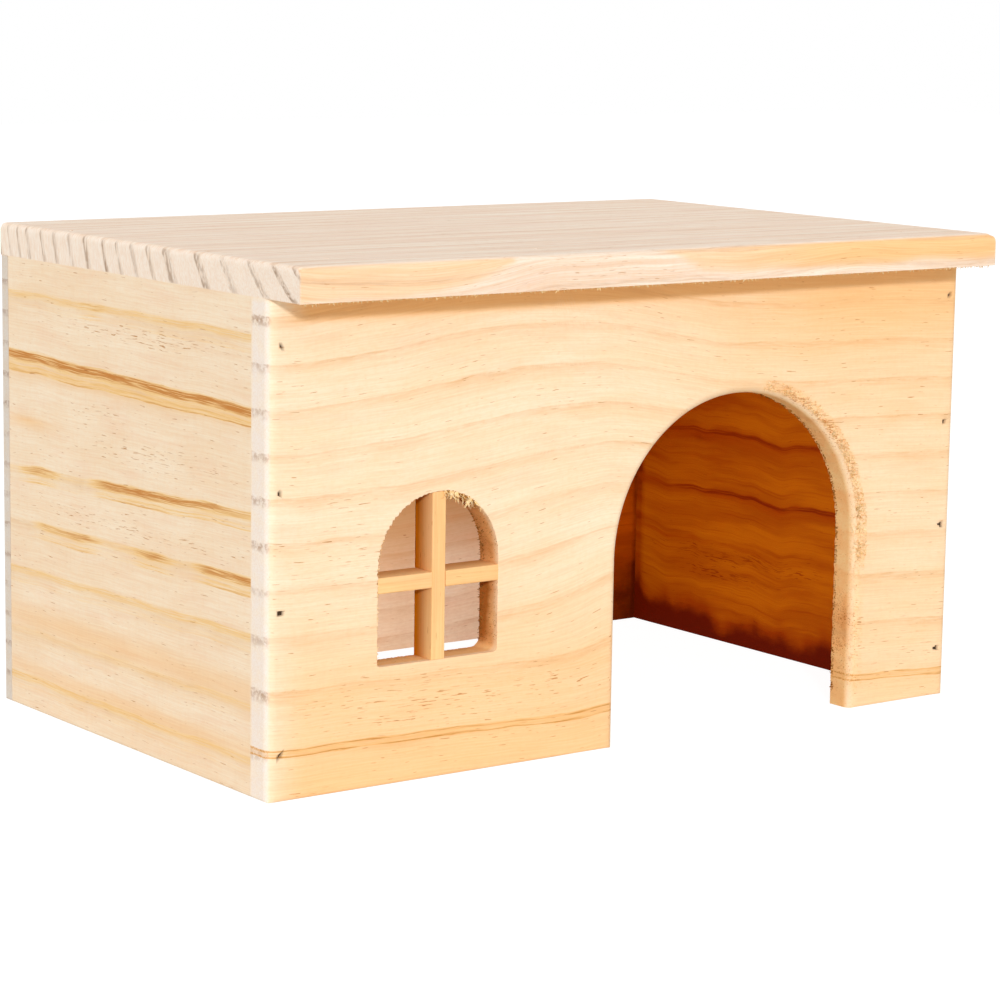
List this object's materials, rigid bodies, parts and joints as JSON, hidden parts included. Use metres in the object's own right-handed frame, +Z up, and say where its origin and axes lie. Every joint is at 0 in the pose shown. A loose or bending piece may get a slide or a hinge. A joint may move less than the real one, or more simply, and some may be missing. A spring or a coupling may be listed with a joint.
{
  "type": "wooden hamster house",
  "caption": "Bottomless wooden box house for a small animal, with a flat roof that overhangs the front, an arched doorway and an arched window with crossed bars.",
  "frame": {"origin": "on the floor, under the middle of the house with its roof on", "axes": "+X along the front from the window end to the doorway end, +Y from the front to the back, +Z up"},
  "size_m": [0.3, 0.2, 0.1745],
  "materials": {
    "pine_panel": "sanded, unpainted",
    "pine_side": "sanded, unpainted",
    "pine_roof": "sanded, unpainted",
    "pine_bar": "sawn and sanded, unpainted",
    "brad_steel": "plain, unpolished"
  },
  "bodies": {
    "root": {"front_panel": "pine_panel", "back_panel": "pine_panel", "left_side_panel": "pine_side", "right_side_panel": "pine_side", "roof_board": "pine_roof", "window_bar_upright": "pine_bar", "window_bar_across": "pine_bar", "front_left_brads": "brad_steel", "front_right_brads": "brad_steel", "back_left_brads": "brad_steel", "back_right_brads": "brad_steel", "roof_front_brads": "brad_steel", "roof_back_brads": "brad_steel", "roof_left_brads": "brad_steel", "roof_right_brads": "brad_steel"}
  },
  "joints": []
}
